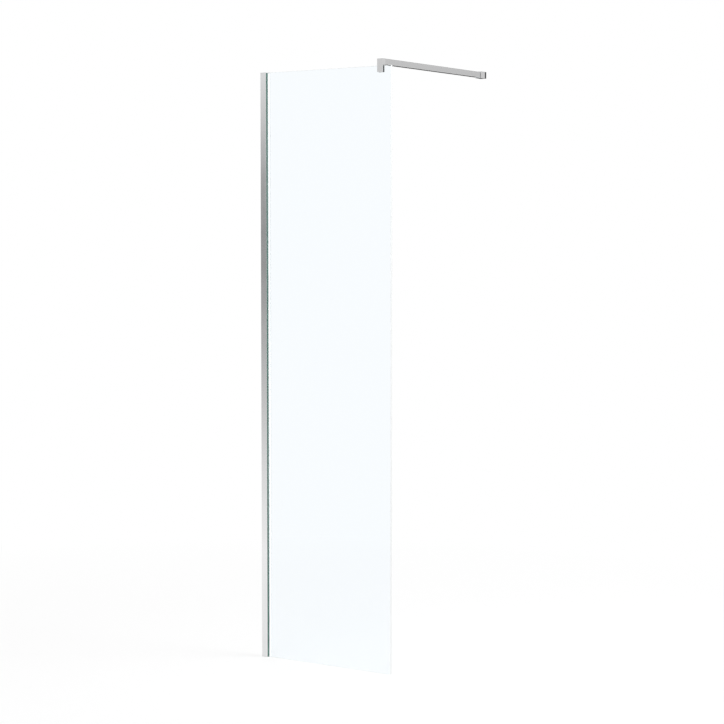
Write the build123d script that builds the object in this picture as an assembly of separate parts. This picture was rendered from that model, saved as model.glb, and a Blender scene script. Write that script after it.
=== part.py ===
from build123d import *
import os

os.makedirs("parts", exist_ok=True)

# A walk-in shower screen: one tall sheet of toughened glass in a two-part
# channel on the wall, with a square bar that braces the top of the glass
# to the wall opposite. Millimetres. X runs along the glass from the face
# of the wall, Y runs across the glass towards the opposite wall, Z is up
# from the shower tray, and the middle of the glass is at Y = 0.

# Overall sizes
screen_height = 1900.0
screen_width = 500.0
bar_reach = 612.0

# Glass
glass_thickness = 8.0
glass_arris = 0.8
glass_corner = 2.0

# Wall profile: the outer channel, screwed to the wall through its web
profile_depth = 22.0
profile_breadth = 26.0
profile_wall = 1.6
profile_corner = 0.9
mouth_rounding = 0.5
drill_groove = 0.3
wall_hole_radius = 2.75
wall_hole_count = 4
wall_hole_end = 100.0

# Glass profile: the inner channel that carries the glass and slides in the
# outer one, to make up for a wall that is out of true
width_travel = 5.0
slide_gap = 0.3
channel_depth = 11.7
channel_wall = 1.5
mouth_setback = 1.0
channel_top_gap = 0.4
channel_foot = 1.0
screw_rib_width = 4.0
screw_rib_height = 1.2
bead_height = 0.5
bead_width = 0.9
bead_setback = 2.2

# Gaskets: one strip each side of the glass, hooked behind the beads
gasket_head = 1.6
gasket_nose = 1.1
gasket_start_gap = 0.4
gasket_bead_gap = 0.1
gasket_flare = 1.3

# Pads between the edge of the glass and the web of its channel
edge_pad_thickness = 1.0
edge_pad_length = 40.0
edge_pad_count = 4
edge_pad_end = 120.0

# Locking screws, which run in slots and clamp the two channels together
lock_count = 3
lock_end = 200.0
lock_radius = 1.75
lock_tip = 0.8
lock_head_radius = 3.4
lock_head_height = 2.2
lock_head_chamfer = 0.6
lock_socket = 2.5
lock_socket_depth = 1.1
slot_clearance = 0.35
thread_gap = 0.05
washer_thickness = 1.2
washer_radius = 6.2
washer_bore_gap = 0.2
cover_wall = 0.9
cover_roof = 0.9
cover_fit = 0.1
cover_head_room = 0.3
cover_chamfer = 0.9

# Top cap of the wall profile
top_cap_thickness = 1.5
top_cap_leg = 12.0
top_cap_leg_thickness = 2.2
top_cap_glass_gap = 0.4

# Bar: a square tube between the clamp and the opposite wall
bar_size = 18.0
bar_wall = 1.5
bar_corner = 0.9
bar_inner_corner = 0.4
bar_edge_gap = 29.0

# Glass clamp: a fork over the top edge of the glass, a little wider than the bar
clamp_bite = 20.0
clamp_seat = 2.0
clamp_floor = 2.0
clamp_cheek = 1.0
jaw_thickness = 3.6
liner_thickness = 0.8
liner_setback = 0.2
clamp_rounding = 0.7
spigot_length = 18.0
spigot_gap = 0.15
spigot_corner = 1.2
spigot_lead = 0.8
clamp_screw_radius = 2.5
clamp_screw_spacing = 10.0
clamp_screw_drop = 9.0
grub_socket = 2.5
grub_socket_depth = 1.6
bar_screw_radius = 2.5
bar_screw_length = 6.0
bar_screw_inset = 9.0

# Wall bracket: a collar over the end of the bar, locked to a plate that is
# screwed to the wall
collar_wall = 1.8
collar_length = 25.0
collar_fit = 0.2
collar_corner = 1.0
plate_flange = 8.0
plate_boss = 6.0
plate_boss_gap = 0.1
plate_screw_radius = 2.75
plate_sink_radius = 5.0
plate_sink_depth = 2.25
pad_thickness = 1.0
pad_hole_radius = 4.0
collar_screw_radius = 2.0
collar_screw_inset = 4.5
collar_socket = 2.0
collar_socket_depth = 1.2
bush_flange = 2.0
bush_length = 10.0
bush_gap = 0.1
reach_travel_in = 4.0
reach_stop_gap = 0.5

# Places worked out from the sizes above
profile_half = profile_breadth / 2
profile_inside = profile_half - profile_wall
channel_half = profile_inside - slide_gap
channel_inside = channel_half - channel_wall
glass_half = glass_thickness / 2
channel_mouth = profile_depth - mouth_setback
channel_back = channel_mouth - channel_depth
channel_seat = channel_back + channel_wall
channel_top = screen_height - top_cap_thickness - channel_top_gap
glass_edge = channel_seat + edge_pad_thickness
lock_x = channel_seat + screw_rib_width / 2
clamp_width = bar_size + 2 * clamp_cheek
bar_x = screen_width - bar_edge_gap - clamp_width / 2
clamp_roof = screen_height + clamp_seat
bar_bottom = clamp_roof + clamp_floor
bar_middle = bar_bottom + bar_size / 2
clamp_half = glass_half + liner_thickness + jaw_thickness
collar_bore = bar_size + 2 * collar_fit
collar_size = collar_bore + 2 * collar_wall
collar_low = bar_middle - collar_size / 2
plate_back = bar_reach - pad_thickness
plate_front = plate_back - plate_flange
collar_mouth = plate_front - collar_length
boss_front = plate_front - plate_boss
bush_tip = boss_front - reach_stop_gap - reach_travel_in
bar_end = bush_tip - bush_flange


def spread(count, first, last):
    """Heights of a row of like pieces, evenly spaced between its two ends."""
    step = (last - first) / max(count - 1, 1)
    return [first + step * i for i in range(count)]


def slab(x0, x1, y0, y1, z0, z1):
    """Block between two opposite corners."""
    middle = Pos((x0 + x1) / 2, (y0 + y1) / 2, (z0 + z1) / 2)
    return middle * Box(x1 - x0, y1 - y0, z1 - z0)


def panel(x0, x1, y0, y1):
    """Rectangle in plan between two opposite corners."""
    return Pos((x0 + x1) / 2, (y0 + y1) / 2) * Rectangle(x1 - x0, y1 - y0)


def corners_at(shape, x, half):
    """The two corners of a plan section at one x and at plus and minus half."""
    near = 0.001
    found = [p for p in shape.vertices() if abs(p.X - x) < near]
    return [p for p in found if abs(abs(p.Y) - half) < near]


def across(x, y, z):
    """Plane at a point whose normal runs across the glass, towards +Y."""
    return Plane(origin=(x, y, z), x_dir=(1, 0, 0), z_dir=(0, 1, 0))


def upwards(x, y, z):
    """Plane at a point whose normal runs straight up."""
    return Plane(origin=(x, y, z), x_dir=(1, 0, 0), z_dir=(0, 0, 1))


def rod(plane, radius, length):
    """Cylinder that starts on a plane and runs along its normal."""
    return plane * extrude(Circle(radius), amount=length)


def square_rod(plane, size, length, rounding):
    """Square bar that starts on a plane and runs along its normal."""
    return plane * extrude(RectangleRounded(size, size, rounding), amount=length)


def grub_screw(plane, radius, length, socket, depth):
    """Headless screw from its tip, with a hexagon socket in its outer end."""
    key = RegularPolygon(socket / 2, 6, major_radius=False)
    pocket = Pos(0, 0, length - depth) * extrude(key, amount=depth)
    return plane * (extrude(Circle(radius), amount=length) - pocket)


def wall_holes():
    """Heights of the screw holes in the web of the wall profile."""
    return spread(wall_hole_count, wall_hole_end, screen_height - wall_hole_end)


def lock_heights():
    """Heights of the locking screws, from the foot of the screen up."""
    return spread(lock_count, lock_end, screen_height - lock_end)


def profile_outline():
    """Outside of the wall profile in plan, its four corners rounded."""
    outline = panel(0, profile_depth, -profile_half, profile_half)
    outline = fillet(corners_at(outline, 0, profile_half), mouth_rounding)
    return fillet(corners_at(outline, profile_depth, profile_half), profile_corner)


def make_wall_profile():
    """Extruded channel with wall holes, drill line and locking slots."""
    room = panel(profile_wall, profile_depth, -profile_inside, profile_inside)
    section = profile_outline() - room
    section = fillet(
        corners_at(section, profile_depth, profile_inside), mouth_rounding
    )
    line = make_face(
        Polyline(
            (profile_wall, -drill_groove),
            (profile_wall - drill_groove, 0),
            (profile_wall, drill_groove),
            close=True,
        )
    )
    solid = extrude(section - line, amount=screen_height - top_cap_thickness)
    into_wall = Plane(origin=(0, 0, 0), x_dir=(0, 1, 0), z_dir=(1, 0, 0))
    for z in wall_holes():
        solid -= Pos(0, 0, z) * rod(into_wall, wall_hole_radius, profile_wall)
    width = 2 * (lock_radius + slot_clearance)
    slot = SlotCenterToCenter(2 * width_travel, width)
    for z in lock_heights():
        solid -= across(lock_x, profile_inside, z) * extrude(slot, amount=profile_wall)
    return solid


def make_profile_top_cap():
    """Cap over the end of the wall profile, slotted for the moving glass."""
    side = glass_half + top_cap_glass_gap
    back = glass_edge - width_travel - top_cap_glass_gap
    way = panel(back, profile_depth, -side, side)
    z = screen_height - top_cap_thickness
    plate = Pos(0, 0, z) * extrude(profile_outline() - way, amount=top_cap_thickness)
    front = profile_wall + top_cap_leg_thickness
    leg = slab(
        profile_wall, front, -profile_inside, profile_inside, z - top_cap_leg, z
    )
    return plate + leg


def half_channel(side):
    """One flange of the glass profile with its screw rib and gasket bead."""
    wall = panel(channel_seat, channel_mouth, channel_inside, channel_half)
    rib = panel(
        channel_seat,
        channel_seat + screw_rib_width,
        channel_inside - screw_rib_height,
        channel_inside,
    )
    tip = channel_mouth - bead_setback
    bead = panel(tip - bead_width, tip, channel_inside - bead_height, channel_inside)
    flange = wall + rib + bead
    return flange if side > 0 else mirror(flange, about=Plane.XZ)


def make_glass_profile():
    """Extruded inner channel that slides in the wall profile."""
    web = panel(channel_back, channel_seat, -channel_half, channel_half)
    section = web + half_channel(1) + half_channel(-1)
    section = fillet(corners_at(section, channel_back, channel_half), mouth_rounding)
    length = channel_top - channel_foot
    solid = Pos(0, 0, channel_foot) * extrude(section, amount=length)
    depth = channel_half - channel_inside + screw_rib_height
    start = channel_inside - screw_rib_height
    for z in lock_heights():
        solid -= rod(across(lock_x, start, z), lock_radius + thread_gap, depth)
    return solid


def make_glass_panel():
    """Sheet of toughened glass: free corners eased, all edges arrised."""
    sheet = slab(glass_edge, screen_width, -glass_half, glass_half, 0, screen_height)
    free_corners = sheet.edges().filter_by(Axis.Y).sort_by(Axis.X)[-2:]
    sheet = fillet(free_corners, glass_corner)
    faces = sheet.faces().filter_by(Axis.Y)
    return chamfer(faces.edges(), glass_arris)


def gasket_section():
    """Strip between glass and channel: barbed foot, bead groove, round head."""
    foot = channel_seat + screw_rib_width + gasket_start_gap
    tip = channel_mouth - bead_setback
    groove_low = tip - bead_width - gasket_bead_gap
    groove_high = tip + gasket_bead_gap
    groove = channel_inside - bead_height - gasket_bead_gap
    front = channel_mouth + gasket_head
    outline = Polyline(
        (foot, glass_half + gasket_flare),
        (foot + gasket_flare, glass_half),
        (front, glass_half),
        (front, channel_half),
        (channel_mouth, channel_half),
        (channel_mouth, channel_inside),
        (groove_high, channel_inside),
        (groove_high, groove),
        (groove_low, groove),
        (groove_low, channel_inside),
        (foot, channel_inside - bead_height),
        close=True,
    )
    strip = make_face(outline)
    return fillet(corners_at(strip, front, channel_half), gasket_nose)


def make_gasket(side):
    """Gasket along the whole channel, on one side of the glass."""
    section = gasket_section()
    if side < 0:
        section = mirror(section, about=Plane.XZ)
    length = channel_top - channel_foot
    return Pos(0, 0, channel_foot) * extrude(section, amount=length)


def make_edge_pads():
    """Soft pads that keep the edge of the glass off its channel."""
    width = glass_half - glass_arris
    last = screen_height - edge_pad_end
    pads = []
    for z in spread(edge_pad_count, edge_pad_end, last):
        low = z - edge_pad_length / 2
        pads.append(
            slab(channel_seat, glass_edge, -width, width, low, low + edge_pad_length)
        )
    return pads


def make_locking_screws():
    """Pan-head screws through the slots into the ribs of the inner channel."""
    tip = channel_inside - screw_rib_height - lock_tip
    seat = profile_half + washer_thickness
    screws = []
    for z in lock_heights():
        shank = rod(across(lock_x, tip, z), lock_radius, seat - tip)
        head = extrude(Circle(lock_head_radius), amount=lock_head_height)
        rim = head.edges().sort_by(Axis.Z)[-1]
        head = chamfer(rim, lock_head_chamfer)
        key = RegularPolygon(lock_socket / 2, 6, major_radius=False)
        pocket = Pos(0, 0, lock_head_height - lock_socket_depth)
        head -= pocket * extrude(key, amount=lock_socket_depth)
        screws.append(shank + across(lock_x, seat, z) * head)
    return screws


def make_cap_washers():
    """Washers that bridge the slots and carry the snap-on covers."""
    ring = Circle(washer_radius) - Circle(lock_radius + washer_bore_gap)
    disc = extrude(ring, amount=washer_thickness)
    return [across(lock_x, profile_half, z) * disc for z in lock_heights()]


def make_screw_caps():
    """Covers that snap over the washers and hide the screw heads."""
    inner = washer_radius + cover_fit
    depth = washer_thickness + lock_head_height + cover_head_room
    shell = extrude(Circle(inner + cover_wall), amount=depth + cover_roof)
    rim = shell.edges().sort_by(Axis.Z)[-1]
    shell = chamfer(rim, cover_chamfer)
    shell -= extrude(Circle(inner), amount=depth)
    return [across(lock_x, profile_half, z) * shell for z in lock_heights()]


def make_clamp_body():
    """Fork over the top edge of the glass, with a spigot into the bar."""
    low = screen_height - clamp_bite
    high = bar_bottom + bar_size
    x0 = bar_x - clamp_width / 2
    x1 = bar_x + clamp_width / 2
    block = slab(x0, x1, -clamp_half, clamp_half, low, high)
    block = fillet(block.edges(), clamp_rounding)
    slot = glass_half + liner_thickness
    block -= slab(x0, x1, -slot, slot, low, clamp_roof)
    plane = across(bar_x, clamp_half, bar_middle)
    spigot = square_rod(plane, spigot_size(), spigot_length, spigot_corner)
    end = spigot.faces().sort_by(Axis.Y)[-1]
    spigot = chamfer(end.edges(), spigot_lead)
    block += spigot
    for x, z in clamp_screw_places():
        block -= rod(
            across(x, slot, z), clamp_screw_radius + thread_gap, jaw_thickness
        )
    hole = bar_screw_radius + thread_gap
    return block - rod(bar_screw_plane(), hole, bar_screw_length)


def spigot_size():
    """Width of the square spigot that fills the mouth of the bar."""
    return bar_size - 2 * (bar_wall + spigot_gap)


def clamp_screw_places():
    """Places of the two screws in the rear jaw."""
    z = screen_height - clamp_screw_drop
    half = clamp_screw_spacing / 2
    return [(bar_x - half, z), (bar_x + half, z)]


def bar_screw_plane():
    """Where the screw under the bar starts: flush with the bar's underside."""
    return upwards(bar_x, clamp_half + bar_screw_inset, bar_bottom)


def make_clamp_liner():
    """Folded strip of soft plastic between the fork and the glass."""
    half = clamp_width / 2 - liner_setback
    side = glass_half + liner_thickness
    low = screen_height - clamp_bite + liner_setback
    outside = slab(bar_x - half, bar_x + half, -side, side, low, clamp_roof)
    inside = slab(
        bar_x - half, bar_x + half, -glass_half, glass_half, low, screen_height
    )
    return outside - inside


def make_clamp_grub_screws():
    """Screws in the rear jaw that press the liner on to the glass."""
    start = glass_half + liner_thickness
    screws = []
    for x, z in clamp_screw_places():
        plane = across(x, start, z)
        screws.append(
            grub_screw(
                plane,
                clamp_screw_radius,
                jaw_thickness,
                grub_socket,
                grub_socket_depth,
            )
        )
    return screws


def make_support_bar():
    """Square tube with rounded corners and a screw hole underneath."""
    plane = across(bar_x, clamp_half, bar_middle)
    length = bar_end - clamp_half
    hollow = bar_size - 2 * bar_wall
    tube = square_rod(plane, bar_size, length, bar_corner)
    tube -= square_rod(plane, hollow, length, bar_inner_corner)
    return tube - rod(bar_screw_plane(), bar_screw_radius + thread_gap, bar_wall)


def make_bar_lock_screw():
    """Screw up through the bar into the spigot of the clamp."""
    down = bar_screw_plane()
    top = Pos(0, 0, bar_screw_length) * down
    plane = Plane(origin=top.origin, x_dir=(1, 0, 0), z_dir=(0, 0, -1))
    return grub_screw(
        plane, bar_screw_radius, bar_screw_length, grub_socket, grub_socket_depth
    )


def make_bar_end_bush():
    """Plug that closes the wall end of the bar and guides it in the collar."""
    size = bar_size - 2 * (bar_wall + bush_gap)
    plug = square_rod(
        across(bar_x, bar_end - bush_length, bar_middle),
        size,
        bush_length,
        bar_inner_corner,
    )
    flange = square_rod(
        across(bar_x, bar_end, bar_middle), bar_size, bush_flange, bar_corner
    )
    return plug + flange


def collar_screw_places():
    """Distances along the bar of the two screws under the collar."""
    return [collar_mouth + collar_screw_inset, boss_front + plate_boss / 2]


def make_wall_collar():
    """Square collar, open at both ends, that slides over bar and boss."""
    plane = across(bar_x, collar_mouth, bar_middle)
    sleeve = square_rod(plane, collar_size, collar_length, collar_corner)
    sleeve -= square_rod(plane, collar_bore, collar_length, bar_corner)
    hole = collar_screw_radius + thread_gap
    for y in collar_screw_places():
        sleeve -= rod(upwards(bar_x, y, collar_low), hole, collar_wall)
    return sleeve


def make_collar_grub_screws():
    """Screws under the collar: one grips the bar, one the wall plate."""
    boss_bottom = bar_middle - collar_bore / 2 + plate_boss_gap
    screws = []
    for y, tip in zip(collar_screw_places(), (bar_bottom, boss_bottom)):
        plane = Plane(origin=(bar_x, y, tip), x_dir=(1, 0, 0), z_dir=(0, 0, -1))
        screws.append(
            grub_screw(
                plane,
                collar_screw_radius,
                tip - collar_low,
                collar_socket,
                collar_socket_depth,
            )
        )
    return screws


def make_wall_plate():
    """Plate on the wall, with a boss for the collar and a screw hole."""
    boss = collar_bore - 2 * plate_boss_gap
    flange = square_rod(
        across(bar_x, plate_front, bar_middle), collar_size, plate_flange, collar_corner
    )
    body = flange + square_rod(
        across(bar_x, boss_front, bar_middle), boss, plate_boss, bar_corner
    )
    through = plate_flange + plate_boss
    body -= rod(across(bar_x, boss_front, bar_middle), plate_screw_radius, through)
    cone = Cone(plate_sink_radius, plate_screw_radius, plate_sink_depth)
    sink = Pos(0, 0, plate_sink_depth / 2) * cone
    return body - across(bar_x, boss_front, bar_middle) * sink


def make_wall_gasket():
    """Thin seal between the plate and the wall."""
    sheet = square_rod(
        across(bar_x, plate_back, bar_middle), collar_size, pad_thickness, collar_corner
    )
    return sheet - rod(
        across(bar_x, plate_back, bar_middle), pad_hole_radius, pad_thickness
    )


def save(name, *solids):
    """Write one node: a single solid, or a group of like ones."""
    shape = solids[0] if len(solids) == 1 else Compound(children=list(solids))
    export_step(shape, f"parts/{name}.step")


save("wall_profile", make_wall_profile())
save("profile_top_cap", make_profile_top_cap())
save("glass_profile", make_glass_profile())
save("glass_panel", make_glass_panel())
save("front_gasket", make_gasket(-1))
save("rear_gasket", make_gasket(1))
save("edge_pads", *make_edge_pads())
save("locking_screws", *make_locking_screws())
save("cap_washers", *make_cap_washers())
save("screw_caps", *make_screw_caps())
save("clamp_body", make_clamp_body())
save("clamp_liner", make_clamp_liner())
save("clamp_grub_screws", *make_clamp_grub_screws())
save("support_bar", make_support_bar())
save("bar_lock_screw", make_bar_lock_screw())
save("bar_end_bush", make_bar_end_bush())
save("wall_collar", make_wall_collar())
save("wall_plate", make_wall_plate())
save("wall_gasket", make_wall_gasket())
save("collar_grub_screws", *make_collar_grub_screws())
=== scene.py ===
from math import ceil, cos, radians, sin

import bmesh
import bpy
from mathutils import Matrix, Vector


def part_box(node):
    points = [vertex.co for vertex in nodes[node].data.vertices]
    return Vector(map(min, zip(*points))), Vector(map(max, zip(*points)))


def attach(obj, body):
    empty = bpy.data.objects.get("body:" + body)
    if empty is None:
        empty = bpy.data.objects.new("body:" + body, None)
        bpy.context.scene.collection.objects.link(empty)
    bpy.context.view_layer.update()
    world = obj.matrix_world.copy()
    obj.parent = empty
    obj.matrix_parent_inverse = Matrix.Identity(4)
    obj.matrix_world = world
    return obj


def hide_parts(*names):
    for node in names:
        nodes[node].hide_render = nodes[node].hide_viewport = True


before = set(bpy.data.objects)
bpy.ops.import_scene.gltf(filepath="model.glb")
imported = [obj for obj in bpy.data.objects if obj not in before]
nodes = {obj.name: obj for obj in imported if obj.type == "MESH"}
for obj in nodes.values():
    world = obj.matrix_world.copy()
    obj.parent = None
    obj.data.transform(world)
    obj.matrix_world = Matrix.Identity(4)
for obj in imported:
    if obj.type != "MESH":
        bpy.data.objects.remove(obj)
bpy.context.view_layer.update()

bpy.ops.object.select_all(action="DESELECT")


# Outer wall profile: a channel of extruded aluminium, polished and then clear
# anodised, which leaves a bright satin skin with fine lines along the die.
# It is screwed to the wall through its web.
def blank_material(name, metallic, coat=0.0):
    """A material that holds one Principled shader, ready to be wired."""
    made = bpy.data.materials.new(name)
    made.use_nodes = True
    tree = made.node_tree
    tree.nodes.clear()
    shader = tree.nodes.new("ShaderNodeBsdfPrincipled")
    output = tree.nodes.new("ShaderNodeOutputMaterial")
    tree.links.new(shader.outputs["BSDF"], output.inputs["Surface"])
    shader.inputs["Metallic"].default_value = metallic
    shader.inputs["Coat Weight"].default_value = coat
    return made, tree, shader


def place_group(tree, group, **values):
    """Puts a node group in a material, with Object coordinates and its values."""
    node = tree.nodes.new("ShaderNodeGroup")
    node.node_tree = group
    where = tree.nodes.new("ShaderNodeTexCoord")
    tree.links.new(where.outputs["Object"], node.inputs["Position"])
    for name, value in values.items():
        node.inputs[name.replace("_", " ")].default_value = value
    return node


def new_group(name, numbers, results):
    """A node group that takes a position and numbers and gives its results."""
    group = bpy.data.node_groups.new(name, "ShaderNodeTree")
    sockets = group.interface
    sockets.new_socket("Position", in_out="INPUT", socket_type="NodeSocketVector")
    for key, value in numbers.items():
        made = sockets.new_socket(key, in_out="INPUT", socket_type="NodeSocketFloat")
        made.default_value = value
    for key, kind in results.items():
        sockets.new_socket(key, in_out="OUTPUT", socket_type=kind)
    start = group.nodes.new("NodeGroupInput")
    end = group.nodes.new("NodeGroupOutput")
    return group, start, end


def math_node(tree, operation, first, second):
    """A Math node of two inputs, each a socket or a number."""
    node = tree.nodes.new("ShaderNodeMath")
    node.operation = operation
    for socket, value in zip(node.inputs, (first, second)):
        if isinstance(value, bpy.types.NodeSocket):
            tree.links.new(value, socket)
        else:
            socket.default_value = value
    return node.outputs["Value"]


def drawn_lines_group():
    """Fine lines along one axis, as a die or a polishing belt leaves them.

    Along X, Along Y and Along Z squeeze the pattern: a small number draws it
    out along that axis. Shade is from 0 to 1, and Normal carries the relief.
    """
    numbers = {"Along X": 900.0, "Along Y": 900.0, "Along Z": 4.0, "Depth": 0.02}
    results = {"Shade": "NodeSocketFloat", "Normal": "NodeSocketVector"}
    group, start, end = new_group("drawn_lines", numbers, results)
    squeeze = group.nodes.new("ShaderNodeCombineXYZ")
    for key, socket in zip(("Along X", "Along Y", "Along Z"), squeeze.inputs):
        group.links.new(start.outputs[key], socket)
    spot = group.nodes.new("ShaderNodeVectorMath")
    spot.operation = "MULTIPLY"
    group.links.new(start.outputs["Position"], spot.inputs[0])
    group.links.new(squeeze.outputs["Vector"], spot.inputs[1])
    lines = group.nodes.new("ShaderNodeTexNoise")
    lines.inputs["Scale"].default_value = 1.0
    lines.inputs["Detail"].default_value = 4.0
    lines.inputs["Roughness"].default_value = 0.6
    group.links.new(spot.outputs["Vector"], lines.inputs["Vector"])
    relief = group.nodes.new("ShaderNodeBump")
    relief.inputs["Distance"].default_value = 0.0002
    group.links.new(start.outputs["Depth"], relief.inputs["Strength"])
    group.links.new(lines.outputs["Fac"], relief.inputs["Height"])
    group.links.new(lines.outputs["Fac"], end.inputs["Shade"])
    group.links.new(relief.outputs["Normal"], end.inputs["Normal"])
    return group


def wiped_film_group():
    """Soft uneven patches, as a wiped surface shows where the light grazes it."""
    numbers = {"Size": 0.08, "Contrast": 1.0}
    group, start, end = new_group("wiped_film", numbers, {"Mask": "NodeSocketFloat"})
    patches = group.nodes.new("ShaderNodeTexNoise")
    patches.inputs["Detail"].default_value = 3.0
    scale = math_node(group, "DIVIDE", 1.0, start.outputs["Size"])
    group.links.new(start.outputs["Position"], patches.inputs["Vector"])
    group.links.new(scale, patches.inputs["Scale"])
    centred = math_node(group, "SUBTRACT", patches.outputs["Fac"], 0.5)
    spread = math_node(group, "MULTIPLY", centred, start.outputs["Contrast"])
    result = math_node(group, "ADD", spread, 0.5)
    group.links.new(result, end.inputs["Mask"])
    return group


def blend_colours(tree, mask, dark, light):
    """Colour between two, by a mask socket."""
    mix = tree.nodes.new("ShaderNodeMix")
    mix.data_type = "RGBA"
    tree.links.new(mask, mix.inputs["Factor"])
    mix.inputs["A"].default_value = (*dark, 1.0)
    mix.inputs["B"].default_value = (*light, 1.0)
    colour = [o for o in mix.outputs if o.type == "RGBA"][0]
    return colour


def rescale(tree, value, low, high):
    """A value from 0 to 1 stretched between two limits."""
    node = tree.nodes.new("ShaderNodeMapRange")
    tree.links.new(value, node.inputs["Value"])
    node.inputs["To Min"].default_value = low
    node.inputs["To Max"].default_value = high
    return node.outputs["Result"]


def drawn_metal(name, dark, light, gloss, lines, depth=0.02):
    """Metal drawn or polished along one axis, with a slightly uneven gloss."""
    made, tree, shader = blank_material(name, metallic=1.0)
    grain = place_group(
        tree, drawn_lines, Along_X=lines[0], Along_Y=lines[1], Along_Z=lines[2],
        Depth=depth,
    )
    film = place_group(tree, wiped_film, Size=0.09, Contrast=1.2)
    colour = blend_colours(tree, grain.outputs["Shade"], dark, light)
    tree.links.new(colour, shader.inputs["Base Color"])
    both = math_node(
        tree, "MULTIPLY", grain.outputs["Shade"], film.outputs["Mask"]
    )
    tree.links.new(rescale(tree, both, *gloss), shader.inputs["Roughness"])
    tree.links.new(grain.outputs["Normal"], shader.inputs["Normal"])
    return made


def dress(name, material):
    """Gives a node of the frame its finish, in place of the plain one."""
    slots = nodes[name].data.materials
    slots.clear()
    slots.append(material)


drawn_lines = drawn_lines_group()
wiped_film = wiped_film_group()
anodised = drawn_metal(
    "anodised_aluminium",
    dark=(0.84, 0.845, 0.85),
    light=(0.89, 0.89, 0.89),
    gloss=(0.1, 0.22),
    lines=(900.0, 900.0, 3.0),
)
dress("wall_profile", anodised)


# Top cap of the wall profile: silver moulded plastic with a fine sparkle, pushed
# down into the open end of the channel.
def silver_plastic_material():
    """Plastic with metal flakes: fine grain in colour and gloss."""
    made, tree, shader = blank_material("silver_plastic", metallic=0.85, coat=0.15)
    flakes = place_group(
        tree, drawn_lines, Along_X=4000.0, Along_Y=4000.0, Along_Z=4000.0, Depth=0.03
    )
    shade = flakes.outputs["Shade"]
    colour = blend_colours(tree, shade, dark=(0.68, 0.69, 0.7), light=(0.82, 0.82, 0.82))
    tree.links.new(colour, shader.inputs["Base Color"])
    roughness = rescale(tree, shade, low=0.22, high=0.42)
    tree.links.new(roughness, shader.inputs["Roughness"])
    tree.links.new(flakes.outputs["Normal"], shader.inputs["Normal"])
    shader.inputs["Coat Roughness"].default_value = 0.12
    return made


silver_plastic = silver_plastic_material()
dress("profile_top_cap", silver_plastic)


# Glass profile: the inner channel, an extrusion with its die lines left on, since
# only its edge shows in the mouth of the outer one.
mill_finish = drawn_metal(
    "mill_aluminium",
    dark=(0.62, 0.63, 0.64),
    light=(0.74, 0.74, 0.74),
    gloss=(0.28, 0.5),
    lines=(1400.0, 1400.0, 2.0),
    depth=0.05,
)
dress("glass_profile", mill_finish)


# Glass: one sheet of 8 mm clear toughened glass with eased free corners. Its
# edges are ground, arrised and satin polished, and look paler than the sheet.
def clear_glass_material():
    """Clear glass, a little colder than white paper, with a faint wiped film."""
    made, tree, shader = blank_material("clear_glass", metallic=0.0)
    film = place_group(tree, wiped_film, Size=0.3, Contrast=1.0)
    colour = blend_colours(
        tree, film.outputs["Mask"], (0.937, 0.973, 0.998), (0.943, 0.977, 1.0)
    )
    tree.links.new(colour, shader.inputs["Base Color"])
    shader.inputs["Transmission Weight"].default_value = 1.0
    shader.inputs["IOR"].default_value = 1.5
    shader.inputs["Roughness"].default_value = 0.0
    return made


def soft_material(name, dark, light, gloss, grain, depth=0.04):
    """Rubber or plastic with a fine grain and a slightly uneven gloss."""
    made, tree, shader = blank_material(name, metallic=0.0)
    skin = place_group(
        tree, drawn_lines, Along_X=grain[0], Along_Y=grain[1], Along_Z=grain[2],
        Depth=depth,
    )
    film = place_group(tree, wiped_film, Size=0.06, Contrast=1.4)
    colour = blend_colours(tree, skin.outputs["Shade"], dark, light)
    tree.links.new(colour, shader.inputs["Base Color"])
    gloss_range = rescale(tree, film.outputs["Mask"], *gloss)
    tree.links.new(gloss_range, shader.inputs["Roughness"])
    tree.links.new(skin.outputs["Normal"], shader.inputs["Normal"])
    return made


def select_edges(mesh, wanted):
    """Selects the edges of the mesh in hand whose two ends pass a test."""
    mesh.select_mode = {"EDGE"}
    for edge in mesh.edges:
        edge.select_set(wanted(edge.verts[0].co, edge.verts[1].co))
    mesh.select_flush_mode()


def block_between(name, low, high):
    """A cube stretched between two corners, with its object at the origin."""
    bpy.ops.object.select_all(action="DESELECT")
    bpy.ops.mesh.primitive_cube_add(size=1.0)
    block = bpy.context.object
    block.name = name
    bpy.ops.object.mode_set(mode="EDIT")
    bpy.ops.transform.resize(value=high - low)
    bpy.ops.transform.translate(value=(high + low) / 2)
    return block


free_corner = 0.002
free_corner_segments = 8
arris = 0.0008
arris_segments = 2
near = 1e-5
square_on = 0.99
low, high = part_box("glass_panel")
sheet = block_between("glass_sheet", low, high)
mesh = bmesh.from_edit_mesh(sheet.data)
select_edges(
    mesh,
    lambda a, b: min(a.x, b.x) > high.x - near and abs(a.z - b.z) < near,
)
bpy.ops.mesh.bevel(offset=free_corner, segments=free_corner_segments, affect="EDGES")
mesh = bmesh.from_edit_mesh(sheet.data)
select_edges(
    mesh,
    lambda a, b: abs(a.y - b.y) < near and abs(abs(a.y) - high.y) < near,
)
bpy.ops.mesh.bevel(
    offset=arris, offset_type="WIDTH", segments=arris_segments, affect="EDGES"
)
bpy.ops.object.mode_set(mode="OBJECT")
sheet.data.materials.append(clear_glass_material())
ground_edge = soft_material(
    "ground_glass_edge",
    dark=(0.92, 0.945, 0.94),
    light=(0.97, 0.985, 0.985),
    gloss=(0.25, 0.4),
    grain=(700.0, 700.0, 700.0),
    depth=0.02,
)
sheet.data.materials.append(ground_edge)
for face in sheet.data.polygons:
    face.material_index = 0 if abs(face.normal.y) > square_on else 1
# Clear glass holds back next to no light, so the sheet casts no shadow.
sheet.visible_shadow = False
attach(sheet, "glass_side")
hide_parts("glass_panel")


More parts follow.
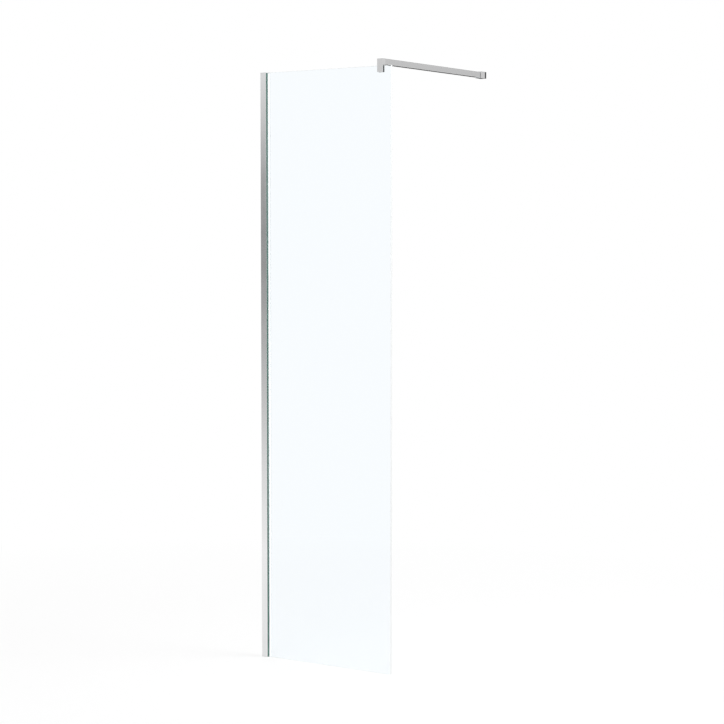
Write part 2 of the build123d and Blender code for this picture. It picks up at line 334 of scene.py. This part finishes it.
# Gaskets: a strip of green-grey rubber in front of the glass and a clear one behind
# it, pushed in over the beads of the inner channel. The clear one has a painted
# glow of its own, seen only through the glass, which lifts its shade to nearly the
# white of the room.
gasket_skin = soft_material(
    "gasket_rubber",
    dark=(0.042, 0.138, 0.105),
    light=(0.074, 0.175, 0.142),
    gloss=(0.35, 0.5),
    grain=(1500.0, 1500.0, 6.0),
)
dress("front_gasket", gasket_skin)
clear_seal = soft_material(
    "clear_seal",
    dark=(0.955, 0.965, 0.965),
    light=(0.98, 0.985, 0.985),
    gloss=(0.2, 0.35),
    grain=(1500.0, 1500.0, 6.0),
)
# Painted glow: light the seal gives off by itself, seen only through the glass.
painted_seal_glow = 0.4
tree = clear_seal.node_tree
through_glass = tree.nodes.new("ShaderNodeLightPath").outputs["Is Transmission Ray"]
seal_glow = math_node(tree, "MULTIPLY", through_glass, painted_seal_glow)
seal_shader = tree.nodes["Principled BSDF"]
seal_shader.inputs["Emission Color"].default_value = (1.0, 1.0, 1.0, 1.0)
tree.links.new(seal_glow, seal_shader.inputs["Emission Strength"])
dress("rear_gasket", clear_seal)


# Soft black liner: pads behind the edge of the glass, the strip in the clamp and
# the seal behind the wall plate.
soft_liner = soft_material(
    "soft_liner",
    dark=(0.018, 0.018, 0.018),
    light=(0.035, 0.035, 0.035),
    gloss=(0.5, 0.7),
    grain=(1200.0, 1200.0, 1200.0),
)
for name in ("edge_pads", "clamp_liner", "wall_gasket"):
    dress(name, soft_liner)


# Locking screws: three pan-head stainless screws with a hexagon socket, driven
# through the slots of the wall profile into the ribs of the inner channel.
def apply_modifier(piece, kind, **values):
    """Adds a modifier with its values to a piece, and applies it."""
    added = piece.modifiers.new(kind.lower(), kind)
    for key, value in values.items():
        setattr(added, key, value)
    bpy.context.view_layer.objects.active = piece
    bpy.ops.object.modifier_apply(modifier=added.name)


def combine(piece, other, operation):
    """Joins, cuts or keeps what is common of two solids, and drops the second."""
    apply_modifier(piece, "BOOLEAN", operation=operation, object=other, solver="EXACT")
    bpy.data.objects.remove(other, do_unlink=True)


def upright_cylinder(radius, low, high, facets=48):
    """Cylinder along Z between two heights, as the active object in hand."""
    bpy.ops.object.select_all(action="DESELECT")
    bpy.ops.mesh.primitive_cylinder_add(
        vertices=facets, radius=radius, depth=high - low, location=(0, 0, (low + high) / 2)
    )
    bpy.ops.object.transform_apply(location=True, rotation=True, scale=True)
    return bpy.context.object


def round_rim(piece, height, offset, segments):
    """Bevels the edges of a piece that lie flat at one height."""
    bpy.ops.object.mode_set(mode="EDIT")
    mesh = bmesh.from_edit_mesh(piece.data)
    select_edges(mesh, lambda a, b: abs(a.z - height) < near and abs(b.z - height) < near)
    bpy.ops.mesh.bevel(offset=offset, segments=segments, affect="EDGES")
    bpy.ops.object.mode_set(mode="OBJECT")


def threaded_rod(radius, length, pitch, depth):
    """Rod from the origin up along Z, with a rolled thread and eased ends.

    A strip one pitch high, from half a pitch inside the crest out to the crest,
    is cut across and pushed in away from its middle. The Screw modifier winds it
    up, and the ends are cut flat and closed.
    """
    cuts_across_strip = 7
    crest_share = 0.2
    root_share = 0.3
    steps_per_turn = 24
    spare_turns = 2
    past_crest = 1.01
    bpy.ops.object.select_all(action="DESELECT")
    bpy.ops.mesh.primitive_plane_add(
        size=pitch, location=(radius - pitch / 2, 0, -pitch), rotation=(radians(90), 0, 0)
    )
    bpy.ops.object.transform_apply(location=True, rotation=True, scale=True)
    rod = bpy.context.object
    bpy.ops.object.mode_set(mode="EDIT")
    mesh = bmesh.from_edit_mesh(rod.data)
    mesh.select_mode = {"VERT"}
    for point in mesh.verts:
        point.select_set(point.co.x < radius - pitch / 2)
    mesh.select_flush_mode()
    bpy.ops.mesh.delete(type="VERT")
    bpy.ops.mesh.select_all(action="SELECT")
    bpy.ops.mesh.subdivide(number_cuts=cuts_across_strip)
    for share in (crest_share, root_share):
        mesh = bmesh.from_edit_mesh(rod.data)
        mesh.select_mode = {"VERT"}
        for point in mesh.verts:
            point.select_set(abs(point.co.z + pitch) > share * pitch)
        mesh.select_flush_mode()
        bpy.ops.transform.translate(value=(-depth / 2, 0, 0))
    bpy.ops.object.mode_set(mode="OBJECT")
    turns = ceil(length / pitch) + spare_turns
    apply_modifier(
        rod, "SCREW", screw_offset=pitch, iterations=turns, steps=steps_per_turn,
        render_steps=steps_per_turn, use_merge_vertices=True, merge_threshold=near,
    )
    bpy.ops.object.mode_set(mode="EDIT")
    bpy.ops.mesh.select_all(action="SELECT")
    bpy.ops.mesh.remove_doubles(threshold=near)
    bpy.ops.mesh.bisect(
        plane_co=(0, 0, 0), plane_no=(0, 0, 1), use_fill=True, clear_inner=True
    )
    bpy.ops.mesh.select_all(action="SELECT")
    bpy.ops.mesh.bisect(
        plane_co=(0, 0, length), plane_no=(0, 0, 1), use_fill=True, clear_outer=True
    )
    bpy.ops.mesh.select_all(action="SELECT")
    bpy.ops.mesh.normals_make_consistent(inside=False)
    bpy.ops.object.mode_set(mode="OBJECT")
    envelope = upright_cylinder(radius * past_crest, 0, length)
    for end in (0, length):
        round_rim(envelope, end, offset=depth, segments=1)
    combine(rod, envelope, "INTERSECT")
    return rod


def hex_socket(piece, across_flats, depth, top):
    """Cuts a flat-bottomed hexagon socket into the top of a screw."""
    sides = 6
    corner = across_flats / 2 / cos(radians(180 / sides))
    key = upright_cylinder(corner, top - depth, top + depth, facets=sides)
    combine(piece, key, "DIFFERENCE")


def solids_in_row(node, axis):
    """Corners of each solid of a node, in order along an axis."""
    clear_space = 0.003
    points = sorted((p.co.copy() for p in nodes[node].data.vertices), key=lambda p: p[axis])
    rows = [[points[0]]]
    for before, point in zip(points, points[1:]):
        if point[axis] - before[axis] > clear_space:
            rows.append([])
        rows[-1].append(point)
    corners = []
    for row in rows:
        lowest = Vector(min(p[i] for p in row) for i in range(3))
        highest = Vector(max(p[i] for p in row) for i in range(3))
        corners.append((lowest, highest))
    return corners


def copy_of(pattern):
    """A second piece of the same shape, with its own mesh."""
    twin = pattern.copy()
    twin.data = pattern.data.copy()
    bpy.context.collection.objects.link(twin)
    return twin


def settle(piece, name, place, turn, material, body, node):
    """Turns a piece about X, puts it in its place and hands it to the frame."""
    sharp_edge = 35
    piece.rotation_euler = (radians(turn), 0, 0)
    piece.location = place
    bpy.ops.object.select_all(action="DESELECT")
    piece.select_set(True)
    bpy.context.view_layer.objects.active = piece
    bpy.ops.object.transform_apply(location=True, rotation=True, scale=True)
    bpy.ops.object.shade_smooth_by_angle(angle=radians(sharp_edge))
    piece.name = name
    piece.data.materials.clear()
    piece.data.materials.append(material)
    for face in piece.data.polygons:
        face.material_index = 0
    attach(piece, body)
    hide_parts(node)


screw_steel = drawn_metal(
    "screw_steel",
    dark=(0.52, 0.52, 0.53),
    light=(0.64, 0.64, 0.64),
    gloss=(0.2, 0.35),
    lines=(2500.0, 2500.0, 2500.0),
)
along, across, up = 0, 1, 2
outer_end_back = -90.0
outer_end_down = 180.0
lock_pitch = 0.0013
lock_thread_depth = 0.00035
lock_shank_radius = 0.00175
lock_head_height = 0.0022
lock_head_segments = 6
lock_socket = 0.0025
lock_socket_depth = 0.0011
lock_places = solids_in_row("locking_screws", up)
low, high = lock_places[0]
length = high.y - low.y
shank_length = length - lock_head_height / 2
screw = threaded_rod(lock_shank_radius, shank_length, lock_pitch, lock_thread_depth)
head = upright_cylinder((high.x - low.x) / 2, length - lock_head_height, length)
round_rim(head, length, lock_head_height / 2, lock_head_segments)
combine(screw, head, "UNION")
hex_socket(screw, lock_socket, lock_socket_depth, length)
for number, (low, high) in enumerate(lock_places, start=1):
    place = ((low.x + high.x) / 2, low.y, (low.z + high.z) / 2)
    settle(
        copy_of(screw), f"locking_screw_{number}", place, outer_end_back, screw_steel,
        "glass_side", "locking_screws",
    )
bpy.data.objects.remove(screw, do_unlink=True)


# Washers of the locking screws: turned nylon rings that bridge the slots.
nylon = soft_material(
    "nylon",
    dark=(0.7, 0.7, 0.66),
    light=(0.8, 0.8, 0.77),
    gloss=(0.4, 0.55),
    grain=(1500.0, 1500.0, 1500.0),
)
dress("cap_washers", nylon)


# Screw covers: silver moulded domes that snap over the washers, each with a small
# notch in the lower rim to prise it off.
cover_wall = 0.0008
cover_facets = 64
cover_edge = 0.0013
cover_edge_segments = 8
cover_crown = 0.00012
crown_rings = 3
crown_ring_width = 0.0015
notch_radius = 0.0009
notch_facets = 24
cover_places = solids_in_row("screw_caps", up)
low, high = cover_places[0]
radius = (high.x - low.x) / 2
rise = high.y - low.y
cover = upright_cylinder(radius, 0, rise, cover_facets)
round_rim(cover, rise, cover_edge, cover_edge_segments)
bpy.ops.object.mode_set(mode="EDIT")
mesh = bmesh.from_edit_mesh(cover.data)
mesh.select_mode = {"FACE"}
for face in mesh.faces:
    face.select_set(face.normal.z < -square_on)
bpy.ops.mesh.delete(type="FACE")
mesh = bmesh.from_edit_mesh(cover.data)
for face in mesh.faces:
    face.select_set(face.normal.z > square_on and len(face.verts) > 4)
for ring in range(crown_rings, 0, -1):
    bpy.ops.mesh.inset(thickness=crown_ring_width, depth=0.0)
    bpy.ops.transform.translate(value=(0, 0, cover_crown * ring / crown_rings))
bpy.ops.object.mode_set(mode="OBJECT")
apply_modifier(cover, "SOLIDIFY", thickness=cover_wall, offset=-1.0)
notch = upright_cylinder(notch_radius, -radius, radius, notch_facets)
notch.rotation_euler = (radians(90), 0, 0)
notch.location = (0, radius + cover_wall, 0)
combine(cover, notch, "DIFFERENCE")
for number, (low, high) in enumerate(cover_places, start=1):
    place = ((low.x + high.x) / 2, low.y, (low.z + high.z) / 2)
    settle(
        copy_of(cover), f"screw_cover_{number}", place, outer_end_back, silver_plastic,
        "glass_side", "screw_caps",
    )
bpy.data.objects.remove(cover, do_unlink=True)


# Clamp: a fork of cast and polished brass, chromed, over the top edge of the
# glass, with the bar on the spigot behind it.
chrome = drawn_metal(
    "bright_chrome",
    dark=(0.68, 0.68, 0.685),
    light=(0.71, 0.71, 0.71),
    gloss=(0.07, 0.13),
    lines=(300.0, 300.0, 300.0),
    depth=0.006,
)
dress("clamp_body", chrome)


# Grub screws: headless stainless screws with a rolled thread and a hexagon
# socket. Two in the clamp's rear jaw press the liner on to the glass.
def grub_screws(node, body, axis, turn, pitch, across_flats, socket_depth):
    """Replaces each screw of a node by a threaded one of its own length."""
    share_of_pitch = 0.55
    for number, (low, high) in enumerate(solids_in_row(node, axis), start=1):
        radius = (high.x - low.x) / 2
        middle = (low + high) / 2
        if turn == outer_end_back:
            length, place = high.y - low.y, (middle.x, low.y, middle.z)
        else:
            length, place = high.z - low.z, (middle.x, middle.y, high.z)
        screw = threaded_rod(radius, length, pitch, share_of_pitch * pitch)
        hex_socket(screw, across_flats, socket_depth, length)
        name = f"{node.removesuffix('s')}_{number}"
        settle(screw, name, place, turn, screw_steel, body, node)


m5_thread = {"pitch": 0.0008, "across_flats": 0.0025, "socket_depth": 0.0016}
m4_thread = {"pitch": 0.0007, "across_flats": 0.002, "socket_depth": 0.0012}
grub_screws("clamp_grub_screws", "bar_side", along, outer_end_back, **m5_thread)


# Bar: a square stainless tube, belt polished along its length, with a nylon bush
# in its wall end and a grub screw from below that holds it on the clamp's spigot.
bar_metal = drawn_metal(
    "polished_bar",
    dark=(0.59, 0.59, 0.595),
    light=(0.67, 0.67, 0.67),
    gloss=(0.1, 0.18),
    lines=(900.0, 3.0, 900.0),
)
dress("support_bar", bar_metal)
dress("bar_end_bush", nylon)
grub_screws("bar_lock_screw", "bar_side", across, outer_end_down, **m5_thread)


# Wall bracket: a chromed collar over the end of the bar, with two grub screws from
# below, and a black coated plate behind it, screwed to the wall.
dress("wall_collar", chrome)
grub_screws("collar_grub_screws", "bracket_side", across, outer_end_down, **m4_thread)
dark_zinc = soft_material(
    "dark_zinc",
    dark=(0.012, 0.012, 0.013),
    light=(0.024, 0.024, 0.025),
    gloss=(0.45, 0.6),
    grain=(900.0, 900.0, 900.0),
)
dress("wall_plate", dark_zinc)


# Floor: white studio paper under the screen. Near the foot part of its white is
# lit by the lamps, to hold the shadow. Towards the rim all of it is a glow of its
# own, so that the paper melts into the white surroundings. In the metal's
# reflections the paper has a painted shade, darker towards the foot.
def rays_seeing(tree, *kinds):
    """One for any of these kinds of ray, and nought for the others."""
    path = tree.nodes.new("ShaderNodeLightPath")
    found = path.outputs[kinds[0]]
    for kind in kinds[1:]:
        found = math_node(tree, "MAXIMUM", found, path.outputs[kind])
    return found


floor_radius = 2.9
floor_facets = 128
floor_lit_share = 0.35
floor_glow = 0.62
bounce_share = 0.75
fade_start = 0.9
fade_end = 2.6
painted_shade_at_foot = 0.79
painted_shade_reach = 2.0
bpy.ops.mesh.primitive_circle_add(
    vertices=floor_facets, radius=floor_radius, fill_type="NGON"
)
floor = bpy.context.object
floor.name = "studio_floor"
paper = bpy.data.materials.new("floor_paper")
paper.use_nodes = True
tree = paper.node_tree
tree.nodes.clear()
lit = tree.nodes.new("ShaderNodeBsdfDiffuse")
spot = tree.nodes.new("ShaderNodeTexCoord")
from_foot = tree.nodes.new("ShaderNodeVectorMath")
from_foot.operation = "LENGTH"
tree.links.new(spot.outputs["Object"], from_foot.inputs[0])
# Painted shade: seen in reflections, the paper darkens towards the foot.
shade = rescale(tree, from_foot.outputs["Value"], painted_shade_at_foot, 1.0)
shade.node.inputs["From Max"].default_value = painted_shade_reach
near_share = rescale(tree, from_foot.outputs["Value"], 1.0, 0.0)
near_share.node.inputs["From Min"].default_value = fade_start
near_share.node.inputs["From Max"].default_value = fade_end
tree.links.new(math_node(tree, "MULTIPLY", near_share, floor_lit_share), lit.inputs["Color"])
paleness = rescale(tree, near_share, 1.0, floor_glow)
satin = math_node(tree, "MULTIPLY", rays_seeing(tree, "Is Glossy Ray"), shade)
satin = math_node(tree, "MULTIPLY", satin, paleness)
white = rays_seeing(tree, "Is Camera Ray", "Is Transmission Ray")
white = math_node(tree, "MULTIPLY", white, paleness)
bounced = rays_seeing(tree, "Is Diffuse Ray")
bounced = math_node(tree, "MULTIPLY", bounced, bounce_share)
bounced = math_node(tree, "MULTIPLY", bounced, paleness)
glow = tree.nodes.new("ShaderNodeEmission")
seen_glow = math_node(tree, "MAXIMUM", satin, white)
seen_glow = math_node(tree, "MAXIMUM", seen_glow, bounced)
tree.links.new(seen_glow, glow.inputs["Strength"])
both = tree.nodes.new("ShaderNodeAddShader")
tree.links.new(lit.outputs["BSDF"], both.inputs[0])
tree.links.new(glow.outputs["Emission"], both.inputs[1])
output = tree.nodes.new("ShaderNodeOutputMaterial")
tree.links.new(both.outputs["Shader"], output.inputs["Surface"])
floor.data.materials.append(paper)


# Surroundings: plain white to the camera and the glass, and soft light to the rest.
# Satin metal sees a studio that is bright above and below and darker at the height
# of the lens, as a list of angles above the horizon, each with its tone.
horizon_tones = [
    (-90.0, 1.0), (-9.4, 1.0), (-7.4, 0.86), (-5.1, 0.66), (-3.8, 0.55),
    (-2.7, 0.45), (-1.3, 0.36), (0.2, 0.26), (1.4, 0.3), (2.6, 0.42), (3.2, 0.53),
    (5.1, 0.84), (8.0, 0.95), (90.0, 1.0),
]
ambient_light = 0.7
world = bpy.data.worlds.new("studio")
bpy.context.scene.world = world
world.use_nodes = True
tree = world.node_tree
tree.nodes.clear()
direction = tree.nodes.new("ShaderNodeTexCoord")
parts = tree.nodes.new("ShaderNodeSeparateXYZ")
tree.links.new(direction.outputs["Generated"], parts.inputs["Vector"])
curve = tree.nodes.new("ShaderNodeFloatCurve")
height = rescale(tree, parts.outputs["Z"], 0.0, 1.0)
height.node.inputs["From Min"].default_value = -1.0
height.node.inputs["From Max"].default_value = 1.0
tree.links.new(height, curve.inputs["Value"])
points = curve.mapping.curves[0].points
for elevation, tone in horizon_tones:
    across_sky = (sin(radians(elevation)) + 1.0) / 2.0
    if elevation in (-90.0, 90.0):
        end_point = points[0] if elevation < 0 else points[-1]
        end_point.location = (across_sky, tone)
    else:
        points.new(across_sky, tone)
curve.mapping.update()
satin = rays_seeing(tree, "Is Glossy Ray")
white = rays_seeing(
    tree, "Is Camera Ray", "Is Transmission Ray", "Is Singular Ray"
)
soft = tree.nodes.new("ShaderNodeMix")
tree.links.new(satin, soft.inputs["Factor"])
soft.inputs["A"].default_value = ambient_light
tree.links.new(curve.outputs["Value"], soft.inputs["B"])
seen = tree.nodes.new("ShaderNodeMix")
tree.links.new(white, seen.inputs["Factor"])
tree.links.new(soft.outputs["Result"], seen.inputs["A"])
seen.inputs["B"].default_value = 1.0
background = tree.nodes.new("ShaderNodeBackground")
background.inputs["Color"].default_value = (1.0, 1.0, 1.0, 1.0)
tree.links.new(seen.outputs["Result"], background.inputs["Strength"])
output = tree.nodes.new("ShaderNodeOutputWorld")
tree.links.new(background.outputs["Background"], output.inputs["Surface"])


# Lamps: three large soft boxes, high at the right, in front and behind, none of
# them seen by the camera nor through the glass.
def soft_box(name, place, aim, size, power):
    """Square area lamp that faces a point."""
    bpy.ops.object.light_add(type="AREA", location=place)
    lamp = bpy.context.object
    lamp.name = name
    lamp.data.shape = "SQUARE"
    lamp.data.size = size
    lamp.data.energy = power
    lamp.rotation_mode = "QUATERNION"
    towards_aim = Vector(aim) - Vector(place)
    lamp.rotation_quaternion = towards_aim.to_track_quat("-Z", "Y")
    lamp.visible_camera = False
    lamp.visible_transmission = False


lamp_aim = (0.25, 0.2, 0.95)
soft_box("right_soft_box", (3.2, 1.2, 3.6), lamp_aim, size=2.2, power=70.0)
soft_box("front_soft_box", (0.8, -3.4, 4.2), lamp_aim, size=2.4, power=45.0)
soft_box("rear_soft_box", (-2.6, 2.0, 3.8), lamp_aim, size=2.4, power=30.0)


# Black cards, seen in the metal alone: one low behind darkens the undersides of
# the bar and its fittings, and one high behind darkens their upper edges.
card_black = bpy.data.materials.new("card_black")
card_black.use_nodes = True
tree = card_black.node_tree
tree.nodes.clear()
dark = tree.nodes.new("ShaderNodeEmission")
dark.inputs["Strength"].default_value = 0.03
output = tree.nodes.new("ShaderNodeOutputMaterial")
tree.links.new(dark.outputs["Emission"], output.inputs["Surface"])


def black_card(name, place, turn, width, height):
    """Upright dark panel that only reflections show."""
    bpy.ops.mesh.primitive_plane_add(
        size=1.0, location=place, rotation=(radians(90.0), 0.0, radians(turn))
    )
    card = bpy.context.object
    card.name = name
    card.scale = (width, height, 1.0)
    card.data.materials.append(card_black)
    for kind in ("camera", "diffuse", "transmission", "shadow", "volume_scatter"):
        setattr(card, "visible_" + kind, False)


black_card("low_card", (-1.4, 2.7, 1.5), turn=37.7, width=2.4, height=0.9)
black_card("high_card", (1.2, 3.3, 3.5), turn=0.0, width=2.6, height=1.2)


# Camera: stands right of the screen and a little above its middle, looking left
# and slightly down, with a long lens.
camera_place = (3.8600, -5.0337, 1.3436)
camera_turn = 34.5893
camera_dip = 3.4093
lens_length = 96.949
sensor = 36.0
bpy.ops.object.camera_add(
    location=camera_place, rotation=(radians(90.0 - camera_dip), 0.0, radians(camera_turn))
)
camera = bpy.context.object
camera.data.lens = lens_length
camera.data.sensor_width = sensor
camera.data.clip_end = 50.0
bpy.context.scene.camera = camera
bpy.context.scene.view_settings.view_transform = "Standard"
